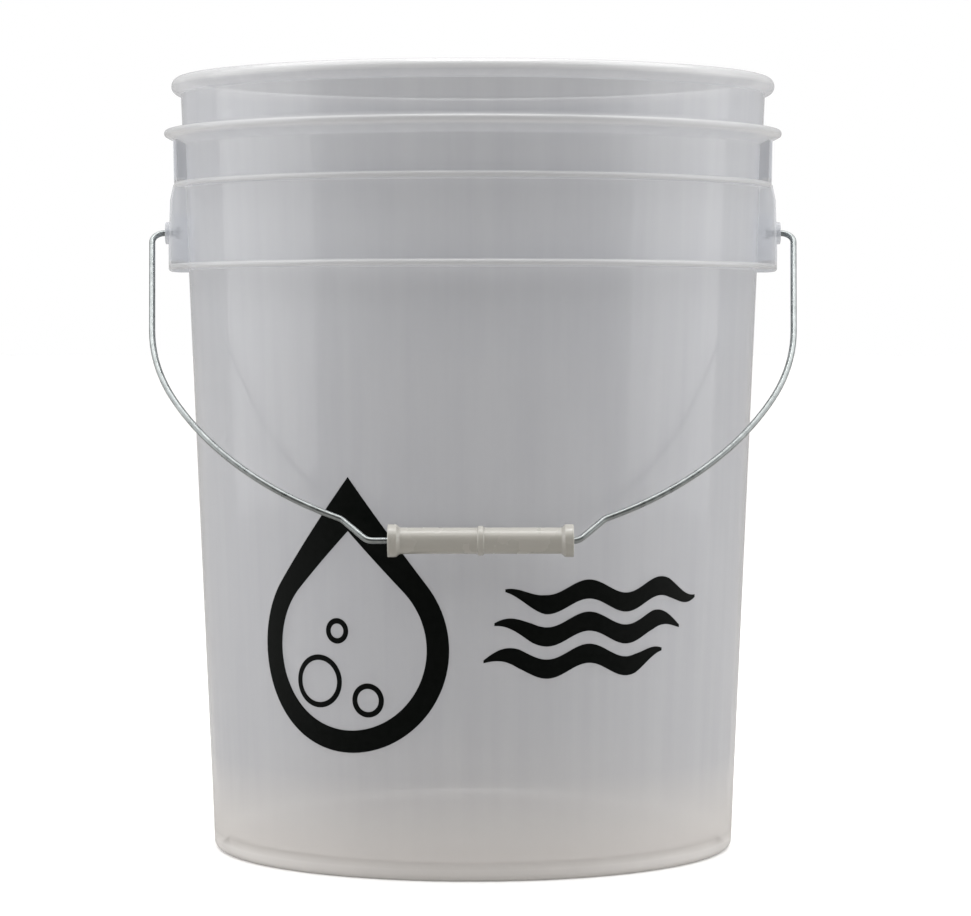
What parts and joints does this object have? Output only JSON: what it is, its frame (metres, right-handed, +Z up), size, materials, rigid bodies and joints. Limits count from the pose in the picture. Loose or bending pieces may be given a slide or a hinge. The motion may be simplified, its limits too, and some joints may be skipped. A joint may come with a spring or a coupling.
{
  "type": "wash bucket",
  "caption": "Tapered moulded wash bucket with a swinging wire bail, a turning plastic grip, a stacking ring and a beaded rim for a press-on lid.",
  "frame": {"origin": "middle of the foot ring, on the ground", "axes": "+Z up; the ears and the bail's pivot axis lie along X; -Y is the front, where the bail rests and the print is"},
  "size_m": [0.3208, 0.3054, 0.38],
  "materials": {
    "bucket_plastic": "translucent natural polypropylene, satin gloss",
    "bail_steel": "bright zinc-plated drawn wire",
    "grip_plastic": "glossy white moulding",
    "print_ink": "black screen-print ink on the front wall"
  },
  "bodies": {
    "bucket": {"bucket_body": "bucket_plastic"},
    "bail": {"bail_wire": "bail_steel"},
    "grip": {"grip_sleeve": "grip_plastic"}
  },
  "joints": [
    {"name": "bail_swing", "type": "hinge", "parent": "bucket", "child": "bail", "pos_m": [0, 0, 0.304], "axis": [-1, 0, 0], "range_deg": [0, 270.6]},
    {"name": "grip_spin", "type": "hinge", "parent": "bail", "child": "grip", "pos_m": [0, -0.14265, 0.15956], "axis": [1, 0, 0], "continuous": true}
  ]
}
